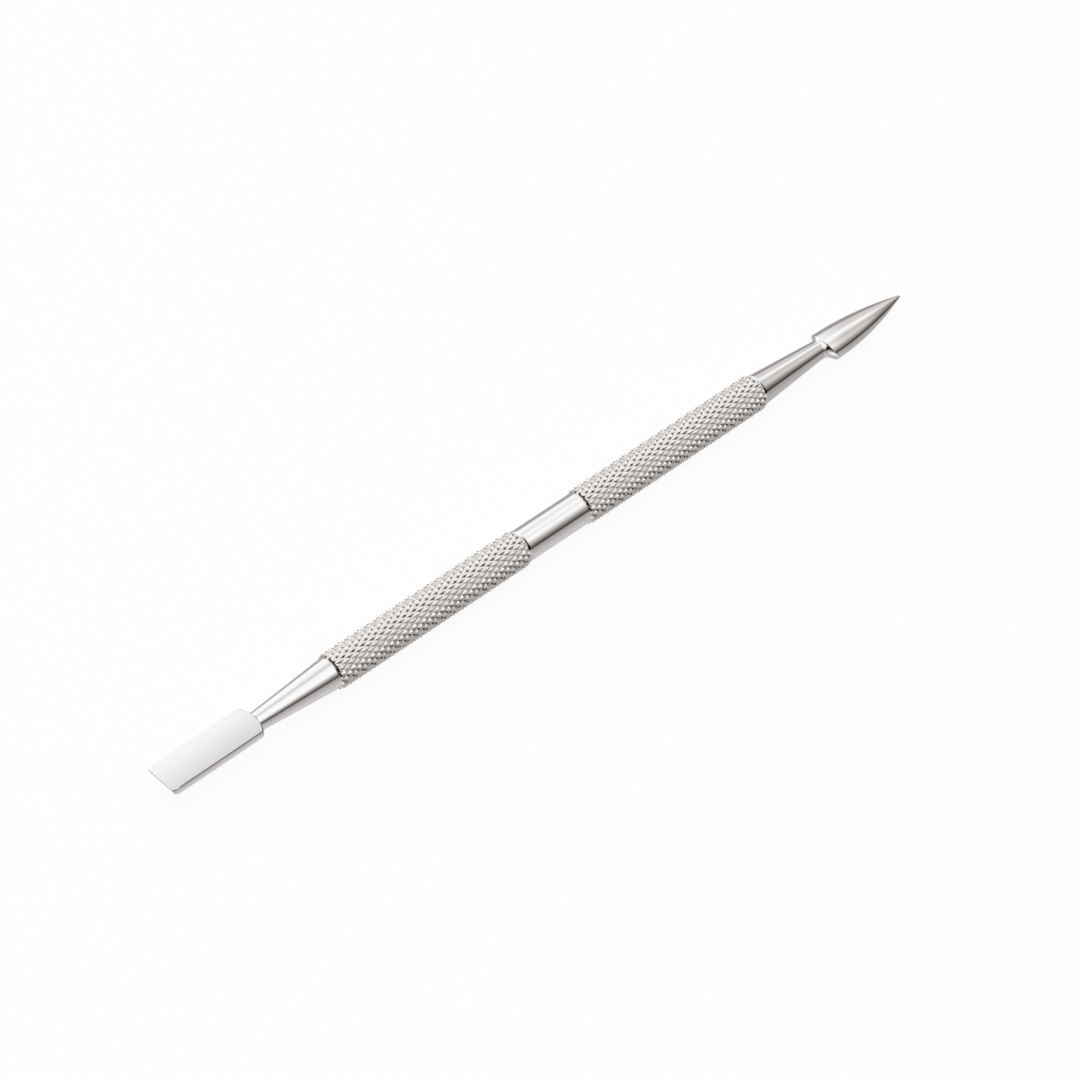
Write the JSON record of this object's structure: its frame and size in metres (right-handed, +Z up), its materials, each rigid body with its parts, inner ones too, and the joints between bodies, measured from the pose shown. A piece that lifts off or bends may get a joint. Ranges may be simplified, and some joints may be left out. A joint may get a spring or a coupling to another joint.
{
  "type": "cuticle pusher",
  "caption": "Slim steel hand tool for nail care: a flat pusher blade and a pointed spear on tapered shanks at the ends of a round, diamond-knurled handle with a smooth band in the middle.",
  "frame": {"origin": "On the surface the tool lies on, under the middle of its length and width.", "axes": "X runs along the tool from the blade (-X) to the spear (+X), Y goes across it and Z points up, square to the surface, with the blade's flat facing up."},
  "size_m": [0.1296, 0.0052, 0.0053],
  "materials": {
    "polished_steel": "mirror polish",
    "knurled_steel": "polished diamond knurl",
    "inner_steel": "plain turned"
  },
  "bodies": {
    "root": {"core_rod": "inner_steel", "pusher_grip": "knurled_steel", "centre_band": "polished_steel", "spear_grip": "knurled_steel", "pusher_shank": "polished_steel", "pusher_blade": "polished_steel", "spear_shank": "polished_steel", "spear_tip": "polished_steel"}
  },
  "joints": []
}
